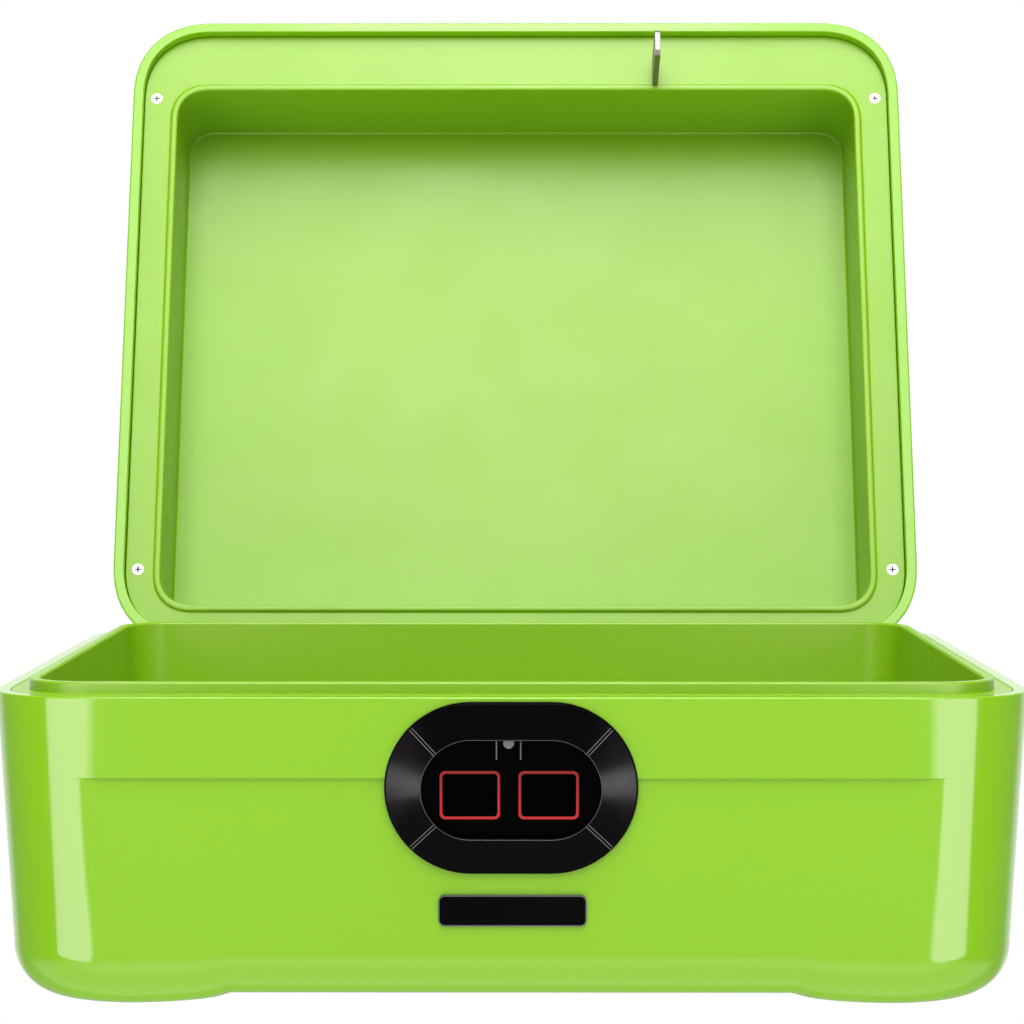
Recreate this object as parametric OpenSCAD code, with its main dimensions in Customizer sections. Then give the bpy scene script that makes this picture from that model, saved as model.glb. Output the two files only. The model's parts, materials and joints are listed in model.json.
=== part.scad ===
// Top-opening personal safe with a fingerprint lock.
// Frame: +X right, front faces -Y, +Z up, origin on the floor under the middle of the box.
// The lid is modelled in its resting place: swung fully open, leaning back on its stops.

/* [Box] */
// Width over the rim
box_w = 290; // [288:0.5:292]
// Depth over the rim
box_d = 246; // [245:0.5:247]
// Height of the rim above the floor
rim_z = 87.6; // [87:0.2:88.4]
// Height of the lid above the rim when it is closed
lid_h = 48; // [47:0.5:52]
// Corner radius seen from above
corner_r = 27; // [26:0.5:29]
// Radius of the bottom edge and of the lid's top edge
edge_r = 14; // [12:0.5:15]
// Draft of the outer walls in degrees
draft = 3.2; // [3:0.1:3.4]
// Wall thickness of both shells
wall = 3; // [2.8:0.1:3.2]
// Height of the four moulded feet
foot_h = 2.9; // [2:0.1:3]
// Depth of the style step across the front
step_d = 0.6; // [0.4:0.1:0.8]

/* [Liners] */
// Width of the shell's own rim around the liner
band_w = 3.9; // [3.6:0.1:4.1]
// Distance from the outside to the upstanding lip
ledge_w = 9.2; // [9:0.1:9.6]
// Thickness of the upstanding lip
lip_t = 3; // [2.6:0.1:3.2]
// Height of the upstanding lip
lip_h = 3.3; // [3:0.1:3.4]
// Thickness of both liners
liner_t = 2.4; // [2.2:0.1:2.6]
// Depth of the lid's liner below its flange
lid_pocket = 36; // [34:0.5:37]

/* [Hinge] */
// How far the lid stands open in degrees
lid_open = 110; // [100:1:110]
// Distance of the hinge axis behind the rim
axis_back = 6; // [6:0.1:6.5]
// Distance of the hinge axis below the rim
axis_drop = 9; // [8.5:0.1:9.5]
// Radius of the hinge pins
pin_r = 2.5; // [2.3:0.1:2.6]
// Distance of each hinge from the middle
hinge_x = 75; // [60:1:90]

/* [Lock] */
// Distance of the strike hook from the middle
hook_x = 53; // [53:0.1:53.5]
// Travel of the bolt
bolt_travel = 10; // [9:0.5:10]
// Gear module of the rack and pinion
gear_m = 0.8; // [0.75:0.05:0.85]
// Teeth on the pinion
gear_n = 12; // [11:1:13]

/* [Bezel] */
// Width of the bezel
bezel_w = 69.6; // [68:0.2:71]
// Height of the bezel
bezel_h = 47.6; // [46:0.2:48]
// Distance of the bezel's middle below the rim
bezel_drop = 25; // [24.6:0.1:26]

/* [Hidden] */
$fn = 48;
EPS = 0.01;
FIT = 0.05;
SLOPE = tan(draft);
FOOT_PAD = 0.3;
UNDER_Z = FOOT_PAD + foot_h;
LIP_IN = ledge_w + lip_t;
TUB_FLOOR = 12;
LID_GAP = 0.3;
FLANGE_D = 3.8;
AXIS_Y = box_d / 2 + axis_back;
AXIS_Z = rim_z - axis_drop;
FRONT_Y = -box_d / 2;

// Lid pocket outline, seen from above with the lid closed
POCKET_SIDE = 16.8;
POCKET_FRONT = 27;
POCKET_REAR = 15.5;
POCKET_HW = box_w / 2 - POCKET_SIDE;
POCKET_HD = (box_d - POCKET_FRONT - POCKET_REAR) / 2;
POCKET_Y = (POCKET_FRONT - POCKET_REAR) / 2;
POCKET_R = 10.5;
BEAD_W = 2.2;
BEAD_H = 1;

// Style step across the front
STEP_Z = rim_z - 22.5;
STEP_TALL = 0.4;
STEP_END = 118;

// Moulded feet
FOOT_X = 80;
FOOT_Y = 60;
FOOT_RAMP = 8;
PAD_X = 112;
PAD_Y = 89;
PAD_R = 8;
PAD_T = 1.5;

// Anchor holes through the bottom
ANCHOR_X = 90;
ANCHOR_Y = 50;
ANCHOR_R = 3.25;
ANCHOR_BOSS_R = 8;

// Screws that hold the tub down
TUB_SCREW_X = 60;
TUB_SCREW_Y = 85;
TUB_SCREW_R = 1.5;
TUB_HEAD_R = 3;

// Screws in the lid's flange
LID_SCREW_X = 136.5;
LID_SCREW_YF = FRONT_Y + 30;
LID_SCREW_YR = box_d / 2 - 29;
LID_SCREW_R = 1.25;
LID_HEAD_R = 2.1;

// Strike hook
HOOK_T = 2;
HOOK_Y0 = FRONT_Y + 14.7;
HOOK_Y1 = FRONT_Y + 25;
HOOK_L = 28;
EYE = 6.4;
HOOK_FOOT_Z = rim_z + 8.3;

// Bolt and gear drive
BOLT_Y = (HOOK_Y0 + HOOK_Y1) / 2;
BOLT_Z = rim_z - 18;
BOLT_R = 2.5;
TAIL_R = 2;
BOLT_TIP = hook_x - 3;
BAR_X0 = -4;
BAR_X1 = 30;
TAIL_X0 = -28;
GEAR_PA = 25;
GEAR_R = gear_m * gear_n / 2;
GEAR_ADD = 0.65;
GEAR_DED = 1;
GEAR_LASH = 0.08;
GEAR_X = 18;
GEAR_Y = BOLT_Y + BOLT_R + GEAR_R;
PLATE_Z = BOLT_Z - 5.1;
PLATE_T = 1.5;
EAR_A = 42;
EAR_B = -18;
EAR_C = BOLT_TIP + bolt_travel - 1.5;
EAR_T = 2.8;

// Lock housing inside the tub
HOUSE_X0 = -104;
HOUSE_X1 = 76;
HOUSE_Y1 = FRONT_Y + 51;
HOUSE_Z0 = TUB_FLOOR + 0.2;
HOUSE_Z1 = rim_z - 5;
HOUSE_T = 2.5;
SLOT_X = 6.4;

// Battery bay
CELL_R = 7.2;
CELL_L = 49.5;
CELL_PITCH = 15.1;
CELL_X0 = -97.5;
CELL_Y = HOUSE_Y1 - 11.2;
CELL_Z0 = HOUSE_Z0 + 11.4;
BAY_X0 = -101;
BAY_X1 = -43;
DOOR_T = 2;
DOOR_TRAVEL = 58;

// Bezel details, in the plane of the front wall
WELL_W = 49.1;
WELL_H = 27.1;
RING_SEAT = 0.85;
RING_EDGE = 0.4;
RING_RISE = 2.75;
GLASS_W = 15.1;
GLASS_H = 11.9;
GLASS_X = [-11.3, 10.25];
GLASS_Y = -1.85;
GLOW_T = 0.75;
LED_X = -0.7;
LED_Y = 12.6;
PLATE_W = 40.8;
PLATE_H = 8.7;
PLATE_X = 0.35;
PLATE_DROP = 34.1;
PLATE_SEAT = 0.3;

// ---- outlines and lofts ----

// One quarter round, with both ends
function quarter(cx, cy, r, a0, n) =
    [for (i = [0:n]) [cx + r * cos(a0 + 90 * i / n), cy + r * sin(a0 + 90 * i / n)]];

// Rounded rectangle, anticlockwise from the front right corner
function outline(hw, hd, r, yc) =
    let (x = hw - r, y = hd - r, n = 5)
    concat(quarter(x, yc - y, r, -90, n),
           quarter(x, yc + y, r, 0, n),
           quarter(-x, yc + y, r, 90, n),
           quarter(-x, yc - y, r, 180, n));

// A ring is [half width, half depth, corner radius, height, middle]
function box_ring(inset, z, t = 0) =
    [box_w / 2 - inset - t, box_d / 2 - inset - t, corner_r - 0.25 * inset - t, z, 0];
function pocket_ring(inset, z, t = 0) =
    [POCKET_HW - inset + t, POCKET_HD - inset + t, POCKET_R - inset + t, z, POCKET_Y];

// Skin through a list of rings, closed by a flat face at each end
module loft(rings) {
    m = len(rings);
    n = len(rings[0]);
    sides = [for (k = [0:m - 2], i = [0:n - 1])
             let (a = k * n + i, b = k * n + (i + 1) % n)
             each [[a, a + n, b + n], [a, b + n, b]]];
    first = [[for (i = [0:n - 1]) i]];
    last = [[for (i = [n - 1:-1:0]) (m - 1) * n + i]];
    polyhedron([for (r = rings) each r], concat(sides, first, last), convexity = 8);
}

module cup(specs) {
    loft([for (s = specs) [for (p = outline(s[0], s[1], s[2], s[4])) [p[0], p[1], s[3]]]]);
}

// How far the drafted wall has come in at a depth below the rim
function taper(depth) = depth * SLOPE;

// Rings of a rounded edge, from the flat face to the wall, for a cup open upwards
function round_edge(flat_z, r, depth_of_flat, t) =
    [for (a = [90, 67.5, 45, 22.5, 0])
     box_ring(taper(depth_of_flat - r) + r * (1 - cos(a)), flat_z + r * (1 - sin(a)), t)];

// ---- base ----

module base_shell() {
    depth = rim_z - FOOT_PAD;
    floor_z = UNDER_Z + wall;
    color("yellowgreen")
    difference() {
        union() {
            cup(concat(round_edge(FOOT_PAD, edge_r, depth, 0),
                       [box_ring(taper(0.5), rim_z - 0.5), box_ring(0.5, rim_z),
                        box_ring(0, rim_z, band_w), box_ring(0, rim_z - 6, band_w),
                        box_ring(taper(7), rim_z - 7, wall + step_d)],
                       [for (i = [4:-1:0])
                        round_edge(floor_z, edge_r - wall, rim_z - floor_z, wall + step_d)[i]]));
            for (x = [-1, 1], y = [-1, 1]) {
                translate([x * ANCHOR_X, y * ANCHOR_Y, FOOT_PAD])
                    cylinder(h = TUB_FLOOR - liner_t - FOOT_PAD - 0.1, r = ANCHOR_BOSS_R);
                translate([x * TUB_SCREW_X, y * TUB_SCREW_Y, UNDER_Z + wall / 2])
                    cylinder(h = 3, r = 5);
            }
        }
        difference() {
            underside_channels();
            for (x = [-1, 1], y = [-1, 1])
                translate([x * ANCHOR_X, y * ANCHOR_Y, -2])
                cylinder(h = 10, r = ANCHOR_BOSS_R);
        }
        front_step();
        for (x = [-1, 1], y = [-1, 1]) {
            translate([x * ANCHOR_X, y * ANCHOR_Y, -1])
                cylinder(h = 20, r = ANCHOR_R);
            translate([x * TUB_SCREW_X, y * TUB_SCREW_Y, 0])
                cylinder(h = 20, r = TUB_SCREW_R + FIT);
            translate([x * TUB_SCREW_X, y * TUB_SCREW_Y, 0])
                cylinder(h = UNDER_Z + 2, r = TUB_HEAD_R + FIT);
            translate([x * PAD_X, y * PAD_Y, -1])
                cylinder(h = 1 + PAD_T, r = PAD_R + FIT);
        }
        on_front()
            translate([0, 0, -8])
            linear_extrude(16)
            stadium(bezel_w - 8, bezel_h - 8);
        on_front()
            translate([PLATE_X, -PLATE_DROP, -PLATE_SEAT])
            linear_extrude(3)
            round_square(PLATE_W + 0.1, PLATE_H + 0.1, 1.75);
        hinge_holes(false);
    }
}

// Two crossing channels, which leave a foot at each corner
module underside_channels() {
    cut_profile = function(half) [[-half - FOOT_RAMP, -1], [half + FOOT_RAMP, -1],
                                  [half + FOOT_RAMP, FOOT_PAD], [half, UNDER_Z],
                                  [-half, UNDER_Z], [-half - FOOT_RAMP, FOOT_PAD]];
    union() {
        translate([0, box_d, 0])
            rotate([90, 0, 0])
            linear_extrude(2 * box_d)
            polygon(cut_profile(FOOT_X));
        along_x(-box_w, box_w)
            polygon(cut_profile(FOOT_Y));
    }
}

// Sliver that sets the front back below the style step and fades out lower down
module front_step() {
    z0 = UNDER_Z + edge_r + 2;
    y0 = FRONT_Y + taper(rim_z - z0);
    y1 = FRONT_Y + taper(rim_z - STEP_Z);
    along_x(-STEP_END, STEP_END)
        polygon([[y0, z0], [y1 + step_d, STEP_Z - STEP_TALL / 2], [y1 - 0.1, STEP_Z + STEP_TALL / 2],
                 [y1 - 3, STEP_Z + STEP_TALL / 2], [y0 - 3, z0]]);
}

module base_liner() {
    z0 = TUB_FLOOR - liner_t;
    d0 = rim_z - z0;
    color("olivedrab")
    difference() {
        union() {
            cup([box_ring(taper(d0) + 8, z0, LIP_IN - liner_t),
                 box_ring(taper(d0) + 2.4, z0 + 2.4, LIP_IN - liner_t),
                 box_ring(taper(d0 - 8), z0 + 8, LIP_IN - liner_t),
                 box_ring(taper(2.5), rim_z - 2.5, LIP_IN - liner_t),
                 box_ring(0, rim_z - 2.5, band_w + 0.15),
                 box_ring(0, rim_z, band_w + 0.15),
                 box_ring(0, rim_z, ledge_w),
                 box_ring(0, rim_z + lip_h - 0.5, ledge_w),
                 box_ring(0, rim_z + lip_h, ledge_w + 0.5),
                 box_ring(0, rim_z + lip_h, LIP_IN - 0.5),
                 box_ring(0, rim_z + lip_h - 0.5, LIP_IN),
                 box_ring(0, rim_z, LIP_IN),
                 box_ring(taper(rim_z - 18), 18, LIP_IN),
                 box_ring(taper(rim_z - 12) + 1.8, 13.8, LIP_IN),
                 box_ring(taper(rim_z - 12) + 6, TUB_FLOOR, LIP_IN)]);
            for (x = [-1, 1], y = [-1, 1])
                translate([x * TUB_SCREW_X, y * TUB_SCREW_Y, UNDER_Z + wall / 2 + 3.1])
                    cylinder(h = TUB_FLOOR - UNDER_Z - wall / 2 - 4, r = 5);
        }
        for (x = [-1, 1], y = [-1, 1]) {
            translate([x * ANCHOR_X, y * ANCHOR_Y, 5])
                cylinder(h = 20, r = ANCHOR_R);
            translate([x * TUB_SCREW_X, y * TUB_SCREW_Y, 5])
                cylinder(h = TUB_FLOOR - 5 - 1, r = TUB_SCREW_R - FIT);
        }
        translate([-40, FRONT_Y + 4, 20])
            cube([80, 20, 57]);
        housing_screw_places()
            cylinder(h = 12, r = 1.2, center = true);
    }
}

module foot_pad(i) {
    sx = i % 2 == 0 ? -1 : 1;
    sy = i < 2 ? -1 : 1;
    color("dimgray")
    translate([sx * PAD_X, sy * PAD_Y, 0])
        cylinder(h = PAD_T, r = PAD_R);
}

module tub_screws() {
    color("silver")
    for (x = [-1, 1], y = [-1, 1])
        translate([x * TUB_SCREW_X, y * TUB_SCREW_Y, UNDER_Z + 0.4]) {
            difference() {
                cylinder(h = 1.6, r = TUB_HEAD_R);
                cross_slot(2.8, 0.7, 0.8);
            }
            translate([0, 0, 1.5])
                cylinder(h = 5, r = TUB_SCREW_R - 2 * FIT);
        }
}

// Cross recess in a screw head, cut upwards from z = 0
module cross_slot(size, width, deep) {
    for (a = [0, 90])
        rotate(a)
        translate([-size / 2, -width / 2, -1])
        cube([size, width, 1 + deep]);
}

// ---- front panel ----

// Frame of the front wall: origin on its outside at the bezel's middle, +Z out of the wall
module on_front() {
    translate([0, FRONT_Y + taper(bezel_drop), rim_z - bezel_drop])
        rotate([90 + draft, 0, 0])
        children();
}

module stadium(w, h) {
    square([w - h, h], center = true);
    for (s = [-1, 1])
        translate([s * (w - h) / 2, 0])
        circle(d = h);
}

module round_square(w, h, r) {
    square([w - 2 * r, h], center = true);
    square([w, h - 2 * r], center = true);
    for (x = [-1, 1], y = [-1, 1])
        translate([x * (w / 2 - r), y * (h / 2 - r)])
        circle(r = r);
}

module bezel_base() {
    color("#151515")
    on_front()
    difference() {
        union() {
            translate([0, 0, 0.05])
                linear_extrude(0.75)
                stadium(bezel_w, bezel_h);
            translate([0, 0, -6])
                linear_extrude(6.5)
                stadium(bezel_w - 8.6, bezel_h - 8.6);
        }
        translate([0, 0, -7])
            linear_extrude(7.2)
            stadium(WELL_W - 2, WELL_H - 2);
        translate([0, 0, 0.2])
            linear_extrude(2)
            stadium(WELL_W, WELL_H);
        translate([0, 0, -1])
            linear_extrude(2)
            stadium(WELL_W - 2, WELL_H - 2);
    }
}

// Sweeps a profile of (distance from the middle line, height) round a stadium
module round_stadium(reach) {
    for (s = [0, 180])
        rotate(s) {
            translate([reach, 0, 0])
                rotate(-90)
                rotate_extrude(angle = 180)
                children();
            translate([-reach, 0, 0])
                rotate([90, 0, 90])
                linear_extrude(2 * reach)
                children();
        }
}

// Ring that falls away outwards, with four slits across it
module bezel_ring() {
    reach = (WELL_W - WELL_H) / 2;
    r0 = WELL_H / 2;
    r1 = bezel_h / 2 - 0.3;
    fall = atan(RING_RISE / (r1 - r0));
    color("#202020")
    on_front()
    translate([0, 0, RING_SEAT])
    difference() {
        round_stadium(reach)
            polygon([[r0, 0], [r1, 0], [r1, RING_EDGE], [r0, RING_EDGE + RING_RISE]]);
        for (sx = [-1, 1], sy = [-1, 1])
            translate([sx * reach, 0, 0])
            rotate(sy * (90 - sx * 45))
            translate([r0, -0.3, RING_EDGE + RING_RISE - 0.35])
            rotate([0, fall, 0])
            translate([-2, 0, 0])
            cube([16, 0.6, 3]);
    }
}

module glass_places() {
    for (i = [0, 1])
        translate([GLASS_X[i], GLASS_Y])
        children();
}

module sensor_panel() {
    color("#0c0c0c")
    on_front()
    translate([0, 0, 0.25])
    linear_extrude(0.8)
    difference() {
        stadium(WELL_W - 0.2, WELL_H - 0.2);
        glass_places()
            round_square(GLASS_W + 2 * GLOW_T, GLASS_H + 2 * GLOW_T, 1.6);
        translate([LED_X, LED_Y])
            circle(r = 1.55);
    }
}

module finger_window(i) {
    color("#1a1a1e")
    on_front()
    translate([GLASS_X[i], GLASS_Y, 0.2])
    linear_extrude(0.95)
    round_square(GLASS_W - 0.1, GLASS_H - 0.1, 1);
}

module glow_frame(i) {
    color("red")
    on_front()
    translate([GLASS_X[i], GLASS_Y, 0.2])
    linear_extrude(1)
    difference() {
        round_square(GLASS_W + 2 * GLOW_T - 0.1, GLASS_H + 2 * GLOW_T - 0.1, 1.55);
        round_square(GLASS_W, GLASS_H, 1.05);
    }
}

module status_led() {
    color("lightgray")
    on_front()
    intersection() {
        translate([LED_X, LED_Y, 0.25])
            cylinder(h = 1.35, r = 1.5);
        linear_extrude(3)
            stadium(WELL_W - 0.3, WELL_H - 0.3);
    }
}

module status_bars() {
    color("gray")
    on_front()
    for (s = [-1, 1])
        translate([LED_X + s * 3.3 - 0.2, 8, 1.1])
        cube([0.4, 5.2, 0.4]);
}

module finger_sensor(i) {
    color("darkslategray")
    on_front()
    translate([GLASS_X[i], GLASS_Y, -7])
    linear_extrude(7.1)
    round_square(GLASS_W - 0.6, GLASS_H - 0.6, 0.8);
}

module nameplate() {
    color("#101010")
    on_front()
    translate([PLATE_X, -PLATE_DROP, -PLATE_SEAT + 0.02])
    linear_extrude(PLATE_SEAT + 0.6)
    round_square(PLATE_W - 0.9, PLATE_H - 0.9, 1.3);
}

module nameplate_trim() {
    color("silver")
    on_front()
    translate([PLATE_X, -PLATE_DROP, -PLATE_SEAT + 0.02])
    linear_extrude(PLATE_SEAT + 0.8)
    difference() {
        round_square(PLATE_W, PLATE_H, 1.7);
        round_square(PLATE_W - 0.85, PLATE_H - 0.85, 1.33);
    }
}

// ---- electronics ----

BOARD_Y = FRONT_Y + 13.2;
BOARD_T = 1.6;

module control_board() {
    color("darkgreen")
    difference() {
        translate([-37, BOARD_Y, 40])
            cube([74, BOARD_T, 36]);
        for (x = [-33.5, 33.5], z = [43.5, 72.5])
            translate([x, BOARD_Y - 1, z])
            rotate([-90, 0, 0])
            cylinder(h = 5, r = 1.3);
    }
}

module board_parts() {
    color("#282828") {
        translate([-26, BOARD_Y - 1.2, 46])
            cube([10, 1.2, 10]);
        translate([8, BOARD_Y - 1, 44])
            cube([6, 1, 5]);
        translate([20, BOARD_Y - 2.5, 45])
            cube([9, 2.5, 4]);
        translate([-8, BOARD_Y - 2, 43])
            cube([8, 2, 4]);
        for (x = [-30, -24])
            translate([x, BOARD_Y, 66])
            rotate([90, 0, 0])
            cylinder(h = 3, r = 2);
    }
}

module buzzer() {
    color("black")
    difference() {
        translate([-20, BOARD_Y + BOARD_T, 50])
            rotate([-90, 0, 0])
            cylinder(h = 5, r = 5);
        translate([-20, BOARD_Y + BOARD_T + 3, 50])
            rotate([-90, 0, 0])
            cylinder(h = 5, r = 0.8);
    }
}

module reed_switch() {
    color("lightblue")
    translate([-36, BOLT_Y + 6, HOUSE_Z1 - HOUSE_T - 1.2])
    rotate([0, 90, 0])
    cylinder(h = 13, r = 1.1);
}

// ---- lock ----

// Inner face of the tub's front wall at a height
function tub_front(z) = FRONT_Y + LIP_IN + taper(rim_z - z) + 0.1;

module along_x(x0, x1) {
    translate([x0, 0, 0])
        rotate([90, 0, 90])
        linear_extrude(x1 - x0)
        children();
}

module housing_screw_places() {
    for (x = [HOUSE_X0 - 5, HOUSE_X1 + 5], z = [36, 60])
        translate([x, tub_front(z), z])
        rotate([90, 0, 0])
        children();
}

module lock_housing() {
    rail_y = HOUSE_Y1 + DOOR_T + 0.6;
    rail_t = 1.2;
    color("yellowgreen")
    difference() {
        union() {
            along_x(HOUSE_X0, HOUSE_X1)
                polygon([[tub_front(HOUSE_Z1), HOUSE_Z1], [tub_front(19), 19],
                         [tub_front(TUB_FLOOR) + 6.5, HOUSE_Z0],
                         [HOUSE_Y1, HOUSE_Z0], [HOUSE_Y1, HOUSE_Z1]]);
            along_x(HOUSE_X0 - 10, HOUSE_X1 + 10)
                polygon([[tub_front(68), 68], [tub_front(28), 28],
                         [tub_front(28) + HOUSE_T, 28], [tub_front(68) + HOUSE_T, 68]]);
            // rails for the battery door, above and below it
            along_x(HOUSE_X0 + 1, HOUSE_X1 - 1)
                polygon([[HOUSE_Y1 - 1, HOUSE_Z1], [HOUSE_Y1 - 1, HOUSE_Z1 - 3.2],
                         [rail_y, HOUSE_Z1 - 3.2], [rail_y, HOUSE_Z1 - 5.4],
                         [rail_y + rail_t, HOUSE_Z1 - 5.4], [rail_y + rail_t, HOUSE_Z1]]);
            along_x(HOUSE_X0 + 1, HOUSE_X1 - 1)
                polygon([[HOUSE_Y1 - 1, HOUSE_Z0], [rail_y + rail_t, HOUSE_Z0],
                         [rail_y + rail_t, HOUSE_Z0 + 3.4], [rail_y, HOUSE_Z0 + 3.4],
                         [rail_y, HOUSE_Z0 + 1.2], [HOUSE_Y1 - 1, HOUSE_Z0 + 1.2]]);
        }
        translate([HOUSE_X0 + HOUSE_T, FRONT_Y, HOUSE_Z0 + HOUSE_T])
            cube([HOUSE_X1 - HOUSE_X0 - 2 * HOUSE_T, HOUSE_Y1 - HOUSE_T - FRONT_Y,
                  HOUSE_Z1 - HOUSE_Z0 - 2 * HOUSE_T]);
        // slot for the strike hook
        translate([hook_x - SLOT_X / 2, FRONT_Y, HOUSE_Z1 - 5])
            cube([SLOT_X, 28, 10]);
        // battery bay's window
        translate([BAY_X0 + 0.5, HOUSE_Y1 - HOUSE_T - 1, HOUSE_Z0 + 3])
            cube([BAY_X1 - BAY_X0 - 1, 10, HOUSE_Z1 - HOUSE_Z0 - 9]);
        housing_screw_places()
            cylinder(h = 30, r = 1.5 + FIT, center = true);
        frame_screw_places()
            cylinder(h = 12, r = 1.5 + FIT, center = true);
    }
}

module housing_screws() {
    color("silver")
    housing_screw_places() {
        translate([0, 0, -HOUSE_T - 1.8])
            difference() {
                cylinder(h = 1.6, r = 2.8);
                cross_slot(2.6, 0.7, 0.8);
            }
        translate([0, 0, -HOUSE_T - 0.3])
            cylinder(h = 7.2, r = 1.15);
    }
}

FRAME_Z1 = BOLT_Z + 9;

module frame_screw_places() {
    for (x = [30, 64])
        translate([x, HOUSE_Y1, BOLT_Z + 3])
        rotate([90, 0, 0])
        children();
}

module lock_frame() {
    y0 = BOARD_Y + BOARD_T + 0.4;
    y1 = HOUSE_Y1 - HOUSE_T - 0.1;
    ear_y = BOLT_Y - 4.3;
    color("lightsteelblue")
    difference() {
        union() {
            translate([-30, y0, PLATE_Z])
                cube([100, y1 - y0, PLATE_T]);
            translate([-30, y1 - PLATE_T, PLATE_Z])
                cube([100, PLATE_T, FRAME_Z1 - PLATE_Z]);
            for (x = [EAR_A, EAR_B, EAR_C])
                translate([x, ear_y, PLATE_Z])
                cube([EAR_T, 8.6, 11]);
        }
        translate([hook_x - 3.4, y0 - 1, PLATE_Z - 1])
            cube([6.8, 14.5, 5]);
        translate([EAR_A - 1, BOLT_Y, BOLT_Z])
            rotate([0, 90, 0])
            cylinder(h = 30, r = BOLT_R + FIT);
        translate([EAR_B - 1, BOLT_Y, BOLT_Z])
            rotate([0, 90, 0])
            cylinder(h = 6, r = TAIL_R + FIT);
        translate([GEAR_X, GEAR_Y, PLATE_Z - 1])
            cylinder(h = 5, r = 2.2);
        motor_screw_places()
            cylinder(h = 10, r = 0.9, center = true);
        frame_screw_places()
            cylinder(h = 20, r = 1.3, center = true);
    }
}

module frame_screws() {
    color("silver")
    frame_screw_places() {
        translate([0, 0, -1.5])
            difference() {
                cylinder(h = 1.5, r = 2.8);
                cross_slot(2.6, 0.7, 0.8);
            }
        translate([0, 0, -0.1])
            cylinder(h = 5.5, r = 1.25);
    }
}

function rad(a) = a * PI / 180;
function involute(a) = tan(a) - rad(a);

// Half the tooth's angle at radius r, in degrees
function tooth_half(r) =
    let (rb = GEAR_R * cos(GEAR_PA))
    90 / gear_n - GEAR_LASH / GEAR_R * 180 / PI
        + (involute(GEAR_PA) - involute(acos(min(rb / r, 1)))) * 180 / PI;

module pinion_outline() {
    rb = GEAR_R * cos(GEAR_PA);
    ro = GEAR_R + GEAR_ADD;
    rr = GEAR_R - GEAR_DED;
    radii = [rb, rb + (ro - rb) * 0.33, rb + (ro - rb) * 0.66, ro];
    polygon([for (i = [0:gear_n - 1])
             let (c = 360 * i / gear_n - 90)
             each concat([[rr * cos(c - tooth_half(rb)), rr * sin(c - tooth_half(rb))]],
                         [for (r = radii) [r * cos(c - tooth_half(r)), r * sin(c - tooth_half(r))]],
                         [for (k = [3:-1:0]) let (r = radii[k])
                          [r * cos(c + tooth_half(r)), r * sin(c + tooth_half(r))]],
                         [[rr * cos(c + tooth_half(rb)), rr * sin(c + tooth_half(rb))]])]);
}

module drive_pinion() {
    color("goldenrod")
    translate([GEAR_X, GEAR_Y, BOLT_Z - 2.2])
    difference() {
        union() {
            linear_extrude(4.4)
                pinion_outline();
            translate([0, 0, 4.3])
                cylinder(h = 1.2, r = 3);
        }
        translate([0, 0, -1])
            cylinder(h = 8, r = 1.5);
    }
}

module rack_outline() {
    pitch = PI * gear_m;
    half = pitch / 4 - GEAR_LASH / 2;
    top = half - GEAR_ADD * tan(GEAR_PA);
    root = half + GEAR_DED * tan(GEAR_PA);
    teeth = floor((BAR_X1 - BAR_X0) / pitch) - 1;
    shift = GEAR_X - BAR_X0 - (floor((GEAR_X - BAR_X0) / pitch) - 0.5) * pitch;
    for (i = [0:teeth - 1])
        translate([BAR_X0 + shift + i * pitch, 0])
        polygon([[-root, -GEAR_DED - 0.2], [-root, -GEAR_DED], [-top, GEAR_ADD],
                 [top, GEAR_ADD], [root, -GEAR_DED], [root, -GEAR_DED - 0.2]]);
}

module bolt() {
    color("silver")
    translate([0, BOLT_Y, BOLT_Z]) {
        translate([BAR_X0, -BOLT_R, -BOLT_R])
            cube([BAR_X1 - BAR_X0, 2 * BOLT_R - GEAR_DED, 2 * BOLT_R]);
        intersection() {
            translate([BAR_X0, 0, -BOLT_R])
                cube([BAR_X1 - BAR_X0, 2 * BOLT_R, 2 * BOLT_R]);
            translate([0, BOLT_R, -BOLT_R])
                linear_extrude(2 * BOLT_R)
                rack_outline();
        }
        translate([BAR_X1 - EPS, 0, 0])
            rotate([0, 90, 0])
            cylinder(h = BOLT_TIP - BAR_X1 - 0.8 + EPS, r = BOLT_R);
        translate([BOLT_TIP - 0.8 - EPS, 0, 0])
            rotate([0, 90, 0])
            cylinder(h = 0.8 + EPS, r1 = BOLT_R, r2 = BOLT_R - 0.8);
        translate([TAIL_X0, 0, 0])
            rotate([0, 90, 0])
            cylinder(h = BAR_X0 - TAIL_X0 + EPS, r = TAIL_R);
    }
}

module motor_screw_places() {
    for (s = [-1, 1])
        translate([GEAR_X + s * 4.5, GEAR_Y, PLATE_Z + PLATE_T])
        children();
}

module gear_motor() {
    box_z = PLATE_Z - 0.1;
    color("gray")
    difference() {
        union() {
            translate([GEAR_X - 6, GEAR_Y - 5, box_z - 9])
                cube([12, 10, 9]);
            intersection() {
                translate([GEAR_X, GEAR_Y, box_z - 24])
                    cylinder(h = 15.1, r = 6);
                translate([GEAR_X - 6, GEAR_Y - 5, box_z - 25])
                    cube([12, 10, 20]);
            }
            translate([GEAR_X, GEAR_Y, box_z - 25.5])
                cylinder(h = 2, r = 2.5);
            translate([GEAR_X, GEAR_Y, box_z - EPS])
                cylinder(h = 0.8, r = 2);
        }
        translate([GEAR_X, GEAR_Y, box_z - 5])
            cylinder(h = 10, r = 1.5 + FIT);
        for (s = [-1, 1])
            translate([GEAR_X + s * 4.5, GEAR_Y, box_z - 4])
            cylinder(h = 6, r = 0.8);
    }
}

module motor_shaft() {
    color("silver")
    translate([GEAR_X, GEAR_Y, PLATE_Z - 4.9])
    cylinder(h = 13.4, r = 1.5);
}

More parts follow.
